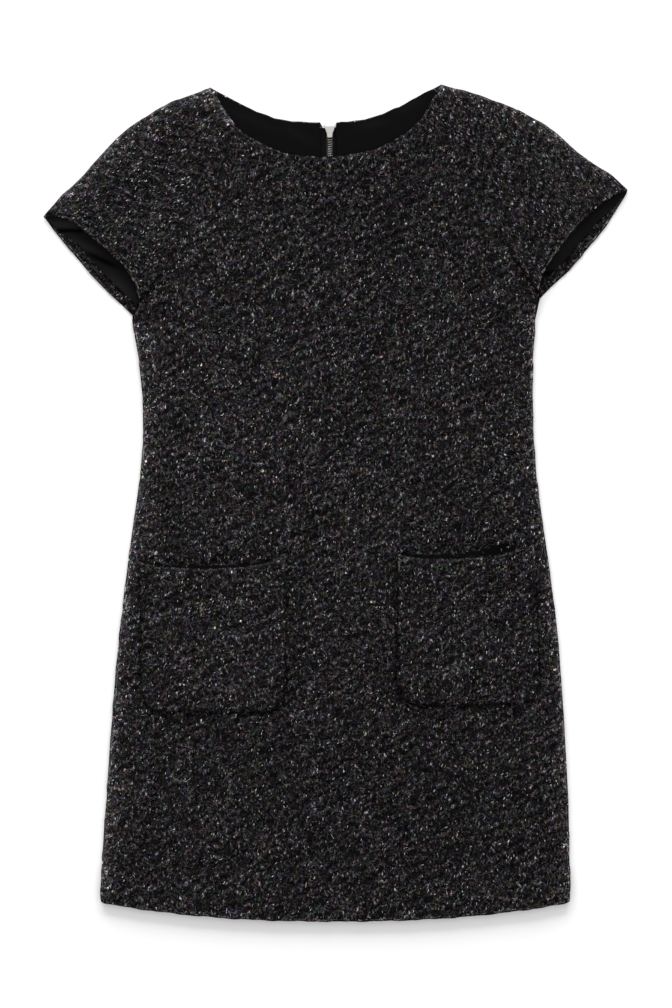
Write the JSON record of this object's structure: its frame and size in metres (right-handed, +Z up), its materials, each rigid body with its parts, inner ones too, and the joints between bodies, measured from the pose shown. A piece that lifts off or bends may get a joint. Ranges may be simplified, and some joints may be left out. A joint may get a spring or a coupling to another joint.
{
  "type": "shift dress",
  "caption": "Tweed shift dress laid flat, front up: A-line body, raglan cap sleeves, round neck, patch pockets and a centre back zip.",
  "frame": {"origin": "middle of the outline, at the height of the surface that the dress lies on", "axes": "+Y towards the neck along the dress, +X towards the wearer's left sleeve, +Z up out of the front"},
  "size_m": [0.623, 0.892, 0.0167],
  "materials": {
    "tweed": "matte boucle tweed, charcoal with pale and coloured slubs",
    "lining": "black acetate lining, slight sheen",
    "zip_tape": "matte black woven tape",
    "zip_metal": "nickel-plated, bright"
  },
  "bodies": {
    "dress": {"front_panel": "tweed", "back_left": "tweed", "back_right": "tweed", "sleeve_front_left": "tweed", "sleeve_front_right": "tweed", "sleeve_back_left": "tweed", "sleeve_back_right": "tweed", "pocket_left": "tweed", "pocket_right": "tweed", "lining_back_left": "lining", "lining_back_right": "lining", "lining_sleeve_left": "lining", "lining_sleeve_right": "lining", "zip_tape_left": "zip_tape", "zip_tape_right": "zip_tape", "zip_chain": "zip_metal", "zip_slider": "zip_metal", "zip_top_stop_left": "zip_metal", "zip_top_stop_right": "zip_metal", "zip_bottom_stop": "zip_metal"},
    "pull_tab": {"zip_pull_tab": "zip_metal"}
  },
  "joints": [
    {"name": "zip_pull_swing", "type": "hinge", "parent": "dress", "child": "pull_tab", "pos_m": [-0.0063, 0.3952, 0.00165], "axis": [1, 0, 0], "range_deg": [0, 180]}
  ]
}
